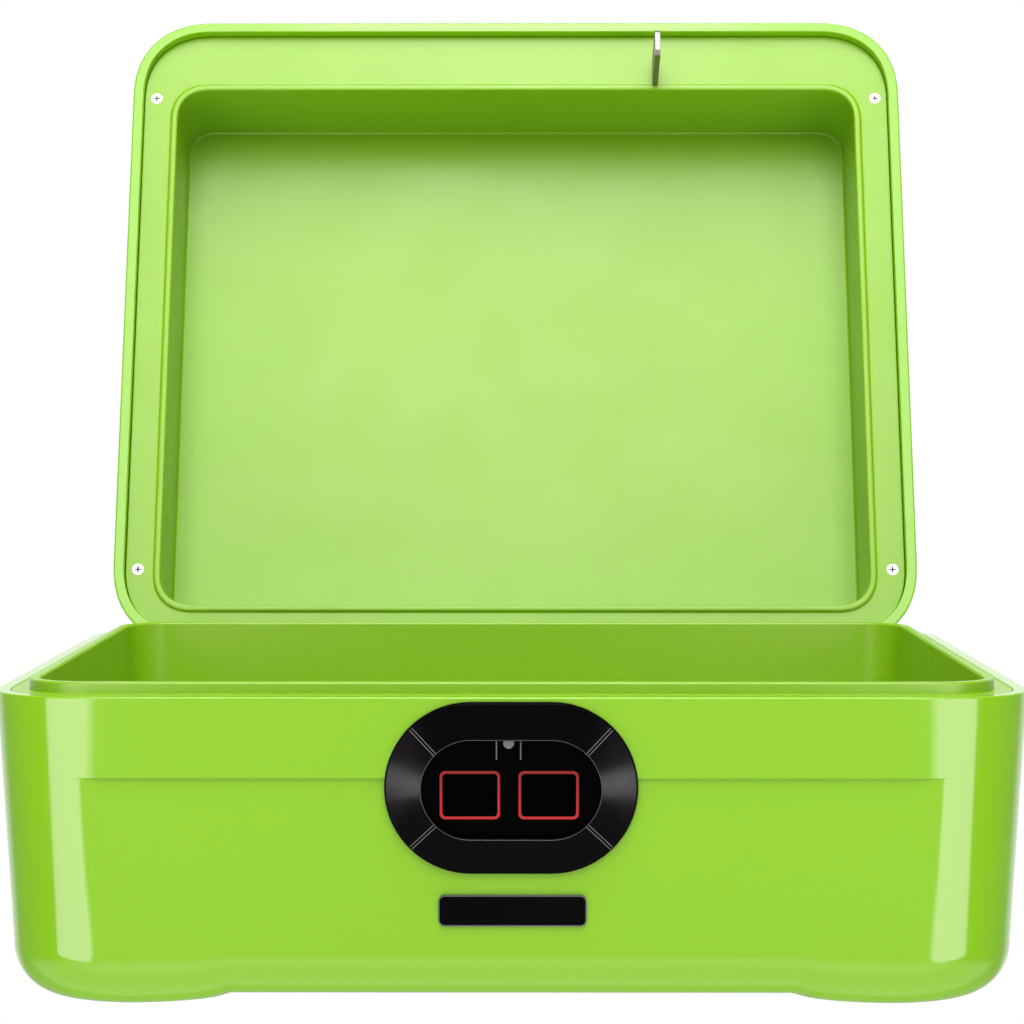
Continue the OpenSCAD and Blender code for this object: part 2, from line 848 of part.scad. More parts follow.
module motor_screws() {
    color("silver")
    motor_screw_places() {
        cylinder(h = 0.9, r = 1.4);
        translate([0, 0, -4])
            cylinder(h = 4.5, r = 0.75);
    }
}

// ---- battery bay ----

function cell_z(i) = CELL_Z0 + i * CELL_PITCH;

module battery_tray() {
    y0 = CELL_Y - CELL_R - 1.2;
    y1 = CELL_Y + CELL_R + 0.4;
    z0 = HOUSE_Z0 + HOUSE_T + 0.1;
    z1 = cell_z(3) + CELL_R + 1.2;
    color("#303030")
    difference() {
        translate([BAY_X0, y0, z0])
            cube([BAY_X1 - BAY_X0, y1 - y0, z1 - z0]);
        for (i = [0:3])
            translate([BAY_X0 + 1.4, CELL_Y, cell_z(i)])
            rotate([0, 90, 0])
            cylinder(h = BAY_X1 - BAY_X0 - 2.8, r = CELL_R + 0.2);
        translate([BAY_X0 + 1.4, CELL_Y, z0 + 1.2])
            cube([BAY_X1 - BAY_X0 - 2.8, 20, z1 - z0 - 2.4]);
    }
}

module battery(i) {
    flip = i % 2 == 0 ? 1 : -1;
    mid = CELL_X0 + (CELL_L + 1) / 2;
    color("orange")
    translate([mid, CELL_Y, cell_z(i)])
    rotate([0, flip * 90, 0])
    translate([0, 0, -(CELL_L + 1) / 2]) {
        cylinder(h = CELL_L, r = CELL_R);
        translate([0, 0, CELL_L - EPS])
            cylinder(h = 1 + EPS, r = 2.6);
    }
}

module battery_contacts() {
    x0 = BAY_X0 + 1.45;
    x1 = BAY_X1 - 1.45;
    color("lightgray")
    for (i = [0:3]) {
        left_spring = i % 2 == 0;
        translate([x0, CELL_Y - 4, cell_z(i) - 4])
            cube([0.4, 8, 8]);
        translate([x1 - 0.4, CELL_Y - 4, cell_z(i) - 4])
            cube([0.4, 8, 8]);
        translate([left_spring ? x0 + 0.3 : CELL_X0 + CELL_L + 1.05, CELL_Y, cell_z(i)])
            rotate([0, 90, 0])
            difference() {
                cylinder(h = left_spring ? CELL_X0 - x0 - 0.35
                                         : x1 - 0.3 - CELL_X0 - CELL_L - 1.05, r = 3);
                translate([0, 0, -1])
                    cylinder(h = 20, r = 2.2);
            }
    }
}

module battery_door() {
    z0 = HOUSE_Z0 + 1.6;
    z1 = HOUSE_Z1 - 3.6;
    y0 = HOUSE_Y1 + 0.3;
    color("yellowgreen")
    union() {
        translate([BAY_X0 - 1, y0, z0])
            cube([BAY_X1 - BAY_X0 + 2, DOOR_T, z1 - z0]);
        for (i = [0:4])
            translate([BAY_X0 + 4 + 3 * i, y0 + DOOR_T - 0.2, z0 + 20])
            cube([1.4, 1, z1 - z0 - 40]);
    }
}

// ---- hinges ----

HINGE_HW = 25;
LID_KNUCKLE = 10;
KNUCKLE_R = 5;
KNUCKLE_GAP = 0.4;
LEAF_T = 2;

// Rear wall of the base and of the closed lid, measured from the hinge axis
function base_rear(z) = -axis_back - taper(axis_drop - z) + 0.15;
function lid_rear(z) = -axis_back - taper(z - axis_drop - LID_GAP) + 0.15;

module at_axis() {
    translate([0, AXIS_Y, AXIS_Z])
        children();
}

module hinge_x_range(x0, x1) {
    translate([x0, 0, 0])
        rotate([90, 0, 90])
        linear_extrude(x1 - x0)
        children();
}

// Holes for the hinge rivets, three to a leaf
module hinge_rivet_places(lid) {
    z = lid ? axis_drop + LID_GAP + 16 : -16;
    for (h = [-1, 1], x = [-17, 0, 17])
        translate([h * hinge_x + x, lid ? lid_rear(z) : base_rear(z), z])
        rotate([lid ? -90 + draft : -90 - draft, 0, 0])
        children();
}

module hinge_holes(lid) {
    at_axis()
        hinge_rivet_places(lid)
        cylinder(h = 20, r = 1.5 + FIT, center = true);
}

module hinge_base(side) {
    toe_y = 15;
    toe_z0 = 0.24 - 0.35;
    color("#303236")
    at_axis()
    difference() {
        translate([side * hinge_x, 0, 0])
        difference() {
            union() {
                hinge_x_range(-HINGE_HW, HINGE_HW)
                    polygon([[base_rear(4), 4], [base_rear(-24), -24],
                             [base_rear(-24) + LEAF_T, -24], [base_rear(4) + LEAF_T, 4]]);
                for (s = [-1, 1])
                    hinge_x_range(s > 0 ? LID_KNUCKLE + KNUCKLE_GAP : -HINGE_HW,
                                  s > 0 ? HINGE_HW : -LID_KNUCKLE - KNUCKLE_GAP) {
                        circle(r = KNUCKLE_R);
                        polygon([[base_rear(0) + 1, 0], [base_rear(-5) + 1, -KNUCKLE_R],
                                 [0, -KNUCKLE_R], [0, 0]]);
                        polygon([[0, -KNUCKLE_R], [toe_y, toe_z0 - (toe_y - 10.7) * 0.302 - 3.5],
                                 [toe_y, toe_z0 - (toe_y - 10.7) * 0.302],
                                 [10.7, toe_z0], [0, 0]]);
                    }
            }
            // room for the lid's knuckle
            translate([-LID_KNUCKLE - KNUCKLE_GAP, -20, -6])
                cube([2 * (LID_KNUCKLE + KNUCKLE_GAP), 40, 20]);
            translate([-HINGE_HW - 1, 0, 0])
                rotate([0, 90, 0])
                cylinder(h = 2 * HINGE_HW + 2, r = pin_r + 0.02);
        }
        hinge_rivet_places(false)
            cylinder(h = 20, r = 1.5 + FIT, center = true);
    }
}

module hinge_pin(side) {
    color("silver")
    at_axis()
    translate([side * hinge_x - HINGE_HW - 1, 0, 0])
    rotate([0, 90, 0]) {
        cylinder(h = 1, r = 3.6);
        translate([0, 0, 1 - EPS])
            cylinder(h = 2 * HINGE_HW + 0.02, r = pin_r);
        translate([0, 0, 2 * HINGE_HW + 1])
            cylinder(h = 1, r = 3.6);
    }
}

module rivets(lid) {
    color("gray")
    at_axis()
    hinge_rivet_places(lid) {
        translate([0, 0, LEAF_T])
            cylinder(h = 1.1, r1 = 2.8, r2 = 2);
        translate([0, 0, -wall - 0.2])
            cylinder(h = wall + LEAF_T + 0.3, r = 1.5);
    }
}

module base_rivets() {
    rivets(false);
}

// ---- lid, drawn closed and then swung open ----

module swing_open() {
    translate([0, AXIS_Y, AXIS_Z])
        rotate([-lid_open, 0, 0])
        translate([0, -AXIS_Y, -AXIS_Z])
        children();
}

// Local frame of the lid's cups: z = 0 at its rim, depth counted as negative z
module lid_cup() {
    translate([0, 0, rim_z + LID_GAP])
        mirror([0, 0, 1])
        children();
}

module hinge_lid(side) {
    z0 = axis_drop + LID_GAP + 0.7;
    z1 = z0 + 28;
    color("#303236")
    swing_open()
    at_axis()
    difference() {
        translate([side * hinge_x, 0, 0])
        difference() {
            union() {
                hinge_x_range(-HINGE_HW, HINGE_HW)
                    polygon([[lid_rear(z0), z0], [lid_rear(z0) + LEAF_T, z0],
                             [lid_rear(z1) + LEAF_T, z1], [lid_rear(z1), z1]]);
                hinge_x_range(-LID_KNUCKLE, LID_KNUCKLE) {
                    circle(r = KNUCKLE_R);
                    polygon([[lid_rear(z0) + 0.3, z0 + 0.2], [lid_rear(z0) + LEAF_T, z0 + 3],
                             [4.6, 1.9], [0, 0], [-4.6, 1.9]]);
                }
            }
            translate([-HINGE_HW, 0, 0])
                rotate([0, 90, 0])
                cylinder(h = 2 * HINGE_HW, r = pin_r + FIT);
        }
        hinge_rivet_places(true)
            cylinder(h = 20, r = 1.5 + FIT, center = true);
    }
}

module lid_rivets() {
    swing_open()
        rivets(true);
}

module lid_screw_places() {
    for (x = [-LID_SCREW_X, LID_SCREW_X], y = [LID_SCREW_YF, LID_SCREW_YR])
        translate([x, y, 0])
        children();
}

HOOK_SCREWS = [[hook_x + 6, BOLT_Y], [hook_x + 12, BOLT_Y]];

module lid_shell() {
    top_in = lid_h - wall;
    color("yellowgreen")
    swing_open()
    difference() {
        union() {
            lid_cup()
                cup(concat(round_edge(-lid_h, edge_r, lid_h, 0),
                           [box_ring(taper(0.5), -0.5), box_ring(0.5, 0),
                            box_ring(0, 0, band_w), box_ring(0, -6.4, band_w),
                            box_ring(taper(6.4), -6.4, wall)],
                           [for (i = [4:-1:0])
                            round_edge(-top_in, edge_r - wall, top_in, wall)[i]]));
            lid_screw_places()
                translate([0, 0, rim_z + LID_GAP + FLANGE_D + 2.3])
                cylinder(h = lid_h - FLANGE_D - edge_r, r = 3.6);
            for (p = HOOK_SCREWS)
                translate([p[0], p[1], HOOK_FOOT_Z + 2.1])
                cylinder(h = rim_z + lid_h - HOOK_FOOT_Z - 4, r = 3.2);
        }
        lid_screw_places()
            translate([0, 0, rim_z])
            cylinder(h = 18, r = LID_SCREW_R + FIT);
        for (p = HOOK_SCREWS)
            translate([p[0], p[1], rim_z])
            cylinder(h = 20, r = 1.25 + FIT);
        hinge_holes(true);
    }
}

module lid_liner() {
    z0 = -FLANGE_D - lid_pocket;
    back = -FLANGE_D - 2.2;
    color("yellowgreen")
    swing_open()
    difference() {
        lid_cup()
            cup([pocket_ring(5, z0 - 2.2, 2.2), pocket_ring(1.6, z0 - 1.2, 2.2),
                 pocket_ring(0.6, z0 + 1, 2.2), pocket_ring(0, back, 2.2),
                 box_ring(0, back, band_w + 0.15), box_ring(0, -FLANGE_D, band_w + 0.15),
                 pocket_ring(0, -FLANGE_D, BEAD_W), pocket_ring(0, -FLANGE_D + BEAD_H, BEAD_W - 0.3),
                 pocket_ring(0, -FLANGE_D + BEAD_H, 0.3), pocket_ring(0, -FLANGE_D + BEAD_H - 0.3, 0),
                 pocket_ring(0.6, z0 + 1, 0), pocket_ring(0.9, z0 + 0.3, 0),
                 pocket_ring(1.6, z0, 0)]);
        lid_screw_places() {
            translate([0, 0, rim_z])
                cylinder(h = 20, r = LID_SCREW_R + FIT);
            translate([0, 0, rim_z + LID_GAP + FLANGE_D - EPS])
                cylinder(h = 1.1 + EPS, r1 = LID_HEAD_R + FIT, r2 = LID_SCREW_R + FIT);
        }
        translate([hook_x - HOOK_T / 2 - 0.4, HOOK_Y0 - 0.4, rim_z])
            cube([HOOK_T + 0.8, HOOK_Y1 - HOOK_Y0 + 0.8 - 0.4, 10]);
    }
}

module lid_screws() {
    color("silver")
    swing_open()
    lid_screw_places()
    translate([0, 0, rim_z + LID_GAP + FLANGE_D]) {
        difference() {
            cylinder(h = 1.1, r1 = LID_HEAD_R, r2 = LID_SCREW_R);
            cross_slot(2.5, 0.6, 0.7);
        }
        translate([0, 0, 0.8])
            cylinder(h = 11, r = LID_SCREW_R - FIT);
    }
}

module strike_hook() {
    z_root = rim_z + LID_GAP + FLANGE_D;
    color("silver")
    swing_open()
    difference() {
        union() {
            translate([hook_x - HOOK_T / 2, HOOK_Y0, z_root - HOOK_L])
                cube([HOOK_T, HOOK_Y1 - HOOK_Y0, HOOK_L]);
            translate([hook_x - HOOK_T / 2, HOOK_Y0, z_root - 1])
                cube([HOOK_T, HOOK_Y1 - HOOK_Y0 - 1.4, HOOK_FOOT_Z + 2 - z_root + 1]);
            translate([hook_x, HOOK_Y0, HOOK_FOOT_Z])
                cube([16, HOOK_Y1 - HOOK_Y0 - 1.4, 2]);
        }
        translate([hook_x - 5, BOLT_Y - EYE / 2, BOLT_Z - EYE / 2])
            cube([10, EYE, EYE]);
        // rounded tip, seen from the side
        for (s = [-1, 1])
            translate([hook_x - 5, s > 0 ? HOOK_Y1 : HOOK_Y0, z_root - HOOK_L])
            rotate([s * 45, 0, 0])
            translate([0, -1.1, -1.1])
            cube([10, 2.2, 2.2]);
        for (p = HOOK_SCREWS)
            translate([p[0], p[1], HOOK_FOOT_Z - 5])
            cylinder(h = 10, r = 1.25 + FIT);
    }
}

module hook_screws() {
    color("silver")
    swing_open()
    for (p = HOOK_SCREWS)
        translate([p[0], p[1], HOOK_FOOT_Z - 1.4]) {
            difference() {
                cylinder(h = 1.4, r = 2.4);
                cross_slot(2.2, 0.6, 0.7);
            }
            translate([0, 0, 1.3])
                cylinder(h = 7.7, r = 1.2);
        }
}

module lid_magnet() {
    color("gray")
    swing_open()
    translate([-30, BOLT_Y, rim_z + LID_GAP + FLANGE_D + 2.3])
    cylinder(h = 3, r = 3.5);
}

base_shell();
base_liner();
foot_pad(0);  // foot_pad_1
foot_pad(1);  // foot_pad_2
foot_pad(2);  // foot_pad_3
foot_pad(3);  // foot_pad_4
tub_screws();
bezel_base();
bezel_ring();
sensor_panel();
finger_window(0);  // finger_window_1
finger_window(1);  // finger_window_2
glow_frame(0);  // glow_frame_1
glow_frame(1);  // glow_frame_2
status_led();
status_bars();
finger_sensor(0);  // finger_sensor_1
finger_sensor(1);  // finger_sensor_2
control_board();
board_parts();
buzzer();
nameplate();
nameplate_trim();
lock_housing();
housing_screws();
lock_frame();
frame_screws();
bolt();
drive_pinion();
gear_motor();
motor_shaft();
motor_screws();
battery_tray();
battery(0);  // battery_1
battery(1);  // battery_2
battery(2);  // battery_3
battery(3);  // battery_4
battery_contacts();
battery_door();
reed_switch();
hinge_base(-1);  // hinge_base_1
hinge_base(1);  // hinge_base_2
hinge_pin(-1);  // hinge_pin_1
hinge_pin(1);  // hinge_pin_2
base_rivets();
hinge_lid(-1);  // hinge_lid_1
hinge_lid(1);  // hinge_lid_2
lid_rivets();
lid_shell();
lid_liner();
lid_screws();
strike_hook();
hook_screws();
lid_magnet();
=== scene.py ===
"""Looks for the fingerprint safe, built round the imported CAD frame.

Lengths in the shape code are in millimetres, as in the CAD source, and become metres in make_mesh.
"""
import json
import math

import bpy
import bmesh
from mathutils import Matrix, Vector


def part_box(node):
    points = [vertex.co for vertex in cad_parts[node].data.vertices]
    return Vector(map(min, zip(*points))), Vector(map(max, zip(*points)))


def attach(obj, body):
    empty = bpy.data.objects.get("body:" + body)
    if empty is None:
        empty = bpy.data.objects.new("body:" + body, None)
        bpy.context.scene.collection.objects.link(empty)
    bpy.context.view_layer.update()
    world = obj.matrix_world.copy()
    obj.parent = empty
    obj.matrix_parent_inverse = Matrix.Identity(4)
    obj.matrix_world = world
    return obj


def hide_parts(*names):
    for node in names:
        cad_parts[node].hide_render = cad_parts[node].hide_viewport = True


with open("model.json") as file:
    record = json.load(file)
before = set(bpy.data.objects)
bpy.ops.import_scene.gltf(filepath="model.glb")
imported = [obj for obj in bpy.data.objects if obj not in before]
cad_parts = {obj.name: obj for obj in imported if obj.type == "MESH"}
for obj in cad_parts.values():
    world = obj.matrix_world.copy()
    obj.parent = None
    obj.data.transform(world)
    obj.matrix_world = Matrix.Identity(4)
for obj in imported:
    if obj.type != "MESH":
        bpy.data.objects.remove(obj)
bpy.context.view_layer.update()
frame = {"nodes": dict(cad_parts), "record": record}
MM = 0.001

# ---------------------------------------------------------------- sizes, as in the CAD source
BOX_W, BOX_D = 290.0, 246.0
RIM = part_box("base_shell")[1].z / MM
LID_H = 48.0
CORNER_R = 27.0
EDGE_R = 14.0
DRAFT = math.radians(3.2)
SLOPE = math.tan(DRAFT)
WALL = 3.0
FOOT_H = 2.9
UNDER = 3.2
BAND = 3.9
SEAM = 0.15
LEDGE = 9.2
LIP_T = 3.0
LIP_H = 3.3
LIP_IN = LEDGE + LIP_T
TUB_FLOOR = 12.0
LINER_T = 2.4
LID_GAP = 0.3
FLANGE = 3.8
POCKET = 36.0
LID_RIM = RIM + LID_GAP
TRAY_T = 2.2
FLANGE_FRONT, FLANGE_REAR, FLANGE_SIDE = 27.0, 15.5, 16.8
POCKET_HW = BOX_W / 2 - FLANGE_SIDE
POCKET_HD = (BOX_D - FLANGE_FRONT - FLANGE_REAR) / 2
POCKET_Y = (FLANGE_FRONT - FLANGE_REAR) / 2
POCKET_R = 10.5
FRONT = -BOX_D / 2

# the style step: its ledge ends STEP_TOP above STEP_Z and is STEP_TALL high
STEP_D = 1.0
STEP_Z = RIM - 22.5
STEP_TOP, STEP_TALL = 0.15, 0.1
STEP_END, STEP_FADE = 119.0, 9.0

# places are in the first quarter, and each is used in all four; radii are the clear holes'
ANCHOR_AT, ANCHOR_R = (90, 50), 3.25
TUB_SCREW_AT, TUB_SCREW_R = (60, 85), 3.05
PAD_AT, PAD_R = (112, 89), 8.05
LID_SCREWS = [(sx * 136.5, y) for sx in (-1, 1) for y in (FRONT + 30, BOX_D / 2 - 29)]
LID_SINK_R = 2.16

hinge = next(j for j in frame["record"]["behaviour"]["joints"] if j["name"] == "lid_hinge")
AXIS = Vector(hinge["pos_m"]) / MM
LID_SWING = math.radians(110)
OPEN = Matrix.Translation(AXIS) @ Matrix.Rotation(-LID_SWING, 4, "X") @ Matrix.Translation(-AXIS)

# the bezel, in its own plane on the front
BEZEL_DROP = 25.0
BEZEL_HOLE_R = 19.8
REACH = 11.0
WELL_R, RING_R = 13.55, 23.5
RING_SEAT, RING_IN, RING_OUT = 0.85, 4.0, 1.25
ON_FRONT = (Matrix.Translation((0, FRONT + SLOPE * BEZEL_DROP, RIM - BEZEL_DROP))
            @ Matrix.Rotation(math.radians(90) + DRAFT, 4, "X"))

# the nameplate: width, height, corner radius and the width of its border
PLATE_W, PLATE_H, PLATE_R, PLATE_BORDER = 40.8, 8.7, 1.8, 0.4
PLATE = ON_FRONT @ Matrix.Translation((0.35, -34.1, 0))


# ---------------------------------------------------------------- camera and light
WORLD_GREY = 0.41
STRIP_TINT = (1, 0.72, 0.96)
STRIP_LOW, STRIP_HIGH = -0.09, 0.17
STRIP_LEAN = math.radians(15)


def add_camera():
    data = bpy.data.cameras.new("camera")
    data.lens = 109.07
    data.sensor_width = 36.0
    data.clip_start, data.clip_end = 0.05, 60
    cam = bpy.data.objects.new("camera", data)
    cam.location = (0.00427, -0.96744, 0.17022)
    cam.rotation_euler = (math.radians(90 - 2.169), 0, math.radians(0.274))
    bpy.context.collection.objects.link(cam)
    bpy.context.scene.camera = cam


def add_area(name, at, target, size, radiance, colour=(1, 1, 1), diffuse=True):
    """An area light that shows this radiance, facing a target."""
    data = bpy.data.lights.new(name, "AREA")
    data.shape = "RECTANGLE"
    data.size, data.size_y = size
    data.energy = radiance * math.pi * size[0] * size[1]
    data.color = colour
    lamp = bpy.data.objects.new(name, data)
    lamp.location = at
    lamp.rotation_euler = (Vector(target) - Vector(at)).to_track_quat("-Z", "Y").to_euler()
    lamp.visible_camera = False
    lamp.visible_diffuse = diffuse
    bpy.context.collection.objects.link(lamp)
    return lamp


def add_world():
    """A grey studio drawn by direction, brighter behind, in front below eye level, and underfoot."""
    world = bpy.data.worlds.new("studio")
    bpy.context.scene.world = world
    world.use_nodes = True
    tree = world.node_tree
    coords = tree.nodes.new("ShaderNodeTexCoord").outputs["Generated"]
    split = tree.nodes.new("ShaderNodeSeparateXYZ")
    tree.links.new(coords, split.inputs["Vector"])

    def fade(axis, start, full, level):
        n = tree.nodes.new("ShaderNodeMapRange")
        n.interpolation_type = "SMOOTHSTEP"
        for key, v in (("From Min", start), ("From Max", full), ("To Min", 0.0), ("To Max", level)):
            n.inputs[key].default_value = v
        tree.links.new(split.outputs[axis], n.inputs["Value"])
        return n.outputs["Result"]

    def combine(operation, a, b):
        n = tree.nodes.new("ShaderNodeMath")
        n.operation = operation
        for i, v in enumerate((a, b)):
            if isinstance(v, float):
                n.inputs[i].default_value = v
            else:
                tree.links.new(v, n.inputs[i])
        return n.outputs[0]

    behind = combine("MULTIPLY", fade("Y", 0.55, 0.8, 0.64), fade("Z", -0.45, -0.25, 1.0))
    ahead = combine("MULTIPLY", fade("Y", -0.55, -0.78, 1.0), fade("Z", -0.02, -0.14, 0.64))
    under = combine("MULTIPLY", fade("Z", -0.33, -0.55, 1.05), fade("Y", 0.45, 0.1, 1.0))
    level = combine("ADD", combine("ADD", behind, ahead), combine("ADD", under, WORLD_GREY))
    tree.nodes["Background"].inputs["Color"].default_value = (1, 1, 1, 1)
    tree.links.new(level, tree.nodes["Background"].inputs["Strength"])


def add_strip(name, a, b, radiance, lean):
    """A leaning light over the ground line from a to b, seen only in reflections."""
    size = (math.dist(a, b), STRIP_HIGH - STRIP_LOW)
    at = ((a[0] + b[0]) / 2, (a[1] + b[1]) / 2, (STRIP_LOW + STRIP_HIGH) / 2)
    facing = Vector((b[1] - a[1], a[0] - b[0], 0))
    if facing.y < 0:
        facing.negate()
    lamp = add_area(name, at, Vector(at) + facing, size, radiance, STRIP_TINT, diffuse=False)
    lamp.rotation_euler.rotate_axis("Z", lean)


def add_lights():
    add_world()
    add_area("key_softbox", (0, -1.35, 1.45), (0, 0.1, 0.2), (1.4, 0.9), 4.9)
    add_area("top_softbox", (0, -0.35, 1.7), (0, 0.15, 0.2), (0.7, 1.0), 8.2)
    add_area("sheen_softbox", (0, -1.25, 1.6), (0, 0.2, 0.2), (0.45, 0.7), 4.0, diffuse=False)
    for side in (-1, 1):
        far, mid, near = (side * 0.3075, -0.2865), (side * 0.17, -0.365), (side * 0.1565, -0.369)
        add_strip(f"strip_{side}", far, mid, 5.7, side * STRIP_LEAN)
        add_strip(f"strip_edge_{side}", mid, near, 3.2, side * STRIP_LEAN)


def add_bezel_lights(ring):
    """Small lights for the ring's left and right quarters, which light nothing else."""
    lit = bpy.data.collections.new("bezel_only")
    lit.objects.link(ring)
    for side in (-1, 1):
        at, target = (side * 0.166, -0.335, 0.018), (side * 0.029, -0.126, 0.062)
        spot = add_area(f"bezel_strip_{side}", at, target, (0.05, 0.066), 1.45, diffuse=False)
        spot.data.spread = math.radians(28)
        spot.light_linking.receiver_collection = lit


add_camera()
add_lights()


# ---------------------------------------------------------------- meshes
BODY_OF = {n: b for b, nodes in frame["record"]["behaviour"]["bodies"].items() for n in nodes}
SLOT_OF = {s["node"]: s["material_slot"] for s in frame["record"]["subparts"]}
SMOOTH_ANGLE = math.radians(40)


def make_mesh(name, verts, faces, place=None):
    """An object from vertices in millimetres, put in place and smooth up to SMOOTH_ANGLE."""
    m = place or Matrix.Identity(4)
    data = bpy.data.meshes.new(name)
    data.from_pydata([tuple((m @ Vector(v)) * MM) for v in verts], [], faces)
    data.validate()
    bm = bmesh.new()
    bm.from_mesh(data)
    bmesh.ops.remove_doubles(bm, verts=bm.verts, dist=1e-6)
    bmesh.ops.recalc_face_normals(bm, faces=bm.faces)
    bm.to_mesh(data)
    bm.free()
    smooth(data)
    obj = bpy.data.objects.new(name, data)
    bpy.context.collection.objects.link(obj)
    return obj


def smooth(data):
    data.polygons.foreach_set("use_smooth", [True] * len(data.polygons))
    data.set_sharp_from_angle(angle=SMOOTH_ANGLE)


def apply_modifiers(obj):
    dg = bpy.context.evaluated_depsgraph_get()
    made = bpy.data.meshes.new_from_object(obj.evaluated_get(dg), depsgraph=dg)
    obj.modifiers.clear()
    obj.data = made
    return obj


def weighted(obj):
    mod = obj.modifiers.new("even_normals", "WEIGHTED_NORMAL")
    mod.keep_sharp = True
    mod.weight = 60
    return apply_modifiers(obj)


def dress(obj, material):
    obj.data.materials.clear()
    obj.data.materials.append(MAT[material])


def stand_for(node, obj):
    """Dress a piece as its node's slot says, and let it ride on the node's body in the node's place."""
    dress(obj, SLOT_OF[node])
    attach(obj, BODY_OF[node])
    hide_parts(node)


def add_detail(obj, body, material):
    """Dress a piece that stands for no node, and let it ride on a body."""
    dress(obj, material)
    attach(obj, body)


# Corners are superellipses, so that their curvature starts gently at the flat walls
CORNER_POWER = 2.355
CORNER_REACH = 31.0 / CORNER_R
CORNER_STEPS = 20


def plan(hw, hd, r, yc, xs, ys):
    """Rounded rectangle from above, anticlockwise from the front right corner, as (x, y)."""
    e = max(r, 0.2) * CORNER_REACH
    cx, cy = hw - e, hd - e
    quarter = []
    for i in range(CORNER_STEPS + 1):
        t = math.pi / 2 * i / CORNER_STEPS
        quarter.append((e * math.cos(t) ** (2 / CORNER_POWER) if i < CORNER_STEPS else 0.0,
                        e * math.sin(t) ** (2 / CORNER_POWER)))
    run_x, run_y = between(cx, xs), between(cy, ys)
    pts = [(cx + b, -cy - a) for a, b in quarter]
    pts += [(hw, v) for v in run_y]
    pts += [(cx + a, cy + b) for a, b in quarter]
    pts += [(-v, hd) for v in run_x]
    pts += [(-cx - b, cy + a) for a, b in quarter]
    pts += [(-hw, -v) for v in run_y]
    pts += [(-cx - a, -cy - b) for a, b in quarter]
    pts += [(v, -hd) for v in run_x]
    return [(x, y + yc) for x, y in pts]


def between(end, marks):
    """Inner points of a straight side from -end to end: the marks, drawn in where they don't fit."""
    last, room = marks[-1], end - 3
    out = [m if last < room else m * room / last for m in marks]
    return [-m for m in reversed(out)] + [0.0] + out


COARSE_X = [30.0, 60.0, 84.0]
COARSE_Y = [30.0, 58.0]


# A ring is (half width, half depth, corner radius, height, y of its centre, fillet radius)
def rim_ring(d, z, t=0.0, f=0.0):
    """A ring of the shells: d further in by the draft, and t by a wall's thickness."""
    return (BOX_W / 2 - d - t, BOX_D / 2 - d - t, CORNER_R - 0.25 * d - t, z, 0.0, f)


def pocket_ring(d, z, t=0.0, f=0.0):
    return (POCKET_HW - d + t, POCKET_HD - d + t, POCKET_R - d + t, z, POCKET_Y, f)


def taper(depth):
    return depth * SLOPE


def round_edge(flat_z, r, depth, t=0.0, steps=16, up=1):
    """Rings of a rounded edge, from its flat face to the wall, which goes up, or down if up is -1."""
    out = []
    for i in range(steps + 1):
        a = math.pi / 2 * (1 - i / steps)
        out.append(rim_ring(taper(depth - r) + r * (1 - math.cos(a)), flat_z + up * r * (1 - math.sin(a)), t))
    return out


def soften(rings, steps=4):
    """Rounds each ring that has a fillet radius, as a conic between its neighbours."""
    out = [rings[0][:5]]
    for k in range(1, len(rings) - 1):
        a, p, b = (rings[k + i] for i in (-1, 0, 1))
        f = p[5]
        if not f:
            out.append(p[:5])
            continue
        la = math.hypot(a[0] - p[0], a[3] - p[3])
        lb = math.hypot(b[0] - p[0], b[3] - p[3])
        ta, tb = min(f / la, 0.49), min(f / lb, 0.49)
        start = [p[i] + (a[i] - p[i]) * ta for i in range(5)]
        end = [p[i] + (b[i] - p[i]) * tb for i in range(5)]
        dot = ((a[0] - p[0]) * (b[0] - p[0]) + (a[3] - p[3]) * (b[3] - p[3])) / la / lb
        w = math.sin(math.acos(max(-1, min(1, dot))) / 2)
        for s in range(steps + 1):
            u = s / steps
            c = ((1 - u) ** 2, 2 * u * (1 - u) * w, u * u)
            out.append(tuple((c[0] * start[i] + c[1] * p[i] + c[2] * end[i]) / sum(c) for i in range(5)))
    out.append(rings[-1][:5])
    return out


def close(ring, shrink):
    """A few smaller, rounder rings inside a flat face, so that its shading stays flat."""
    hw, hd, r, z, yc = ring[:5]
    r = max(r, 0.35 * hd)
    return [(hw * k, hd * k, r * k, z, yc, 0.0) for k in [1 - s / hd for s in shrink]]


def loft(rings, xs=COARSE_X, ys=COARSE_Y, move=None):
    """Verts and faces of the skin through the rings, closed at both ends."""
    loops = [[(x, y, ring[3]) for x, y in plan(*ring[:3], ring[4], xs, ys)] for ring in rings]
    if move:
        loops = [[move(*p) for p in loop] for loop in loops]
    n = len(loops[0])
    verts = [p for loop in loops for p in loop]
    faces = []
    for k in range(len(loops) - 1):
        for i in range(n):
            j = (i + 1) % n
            faces.append((k * n + i, k * n + j, (k + 1) * n + j, (k + 1) * n + i))
    faces.append(tuple(range(n - 1, -1, -1)))
    faces.append(tuple(range((len(loops) - 1) * n, len(loops) * n)))
    return verts, faces


def ring_grid(loops):
    """Verts and faces through closed loops of equal length, the last joined to the first."""
    n, m = len(loops[0]), len(loops)
    verts = [p for loop in loops for p in loop]
    faces = [(k * n + i, k * n + (i + 1) % n, (k + 1) % m * n + (i + 1) % n, (k + 1) % m * n + i)
             for k in range(m) for i in range(n)]
    return verts, faces


def joined(parts):
    """The verts and faces of several parts as one."""
    verts, faces = [], []
    for more, sides in parts:
        b = len(verts)
        verts += more
        faces += [tuple(b + i for i in side) for side in sides]
    return verts, faces


